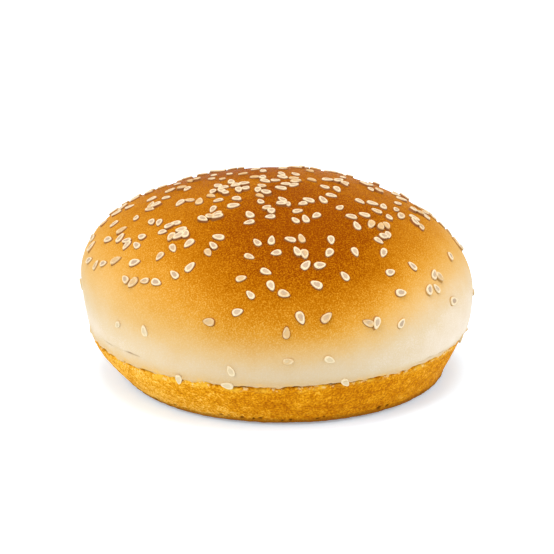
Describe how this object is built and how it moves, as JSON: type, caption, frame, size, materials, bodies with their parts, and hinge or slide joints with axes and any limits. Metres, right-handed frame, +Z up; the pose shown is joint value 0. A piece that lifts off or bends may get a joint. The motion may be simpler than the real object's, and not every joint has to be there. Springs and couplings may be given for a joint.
{
  "type": "sesame-seeded bread roll",
  "caption": "Whole round soft bread roll, uncut: domed glazed crown with sesame seeds, pale waist and a tapered pan-baked foot.",
  "frame": {"origin": "middle of the underside, on the surface that the roll stands on", "axes": "+Z up through the crown, -Y towards the viewer of the picture, +X to the viewer's right"},
  "size_m": [0.1041, 0.1033, 0.0526],
  "materials": {
    "crust": "satin",
    "sesame": "satin"
  },
  "bodies": {
    "root": {"bread_roll": "crust"}
  },
  "joints": []
}
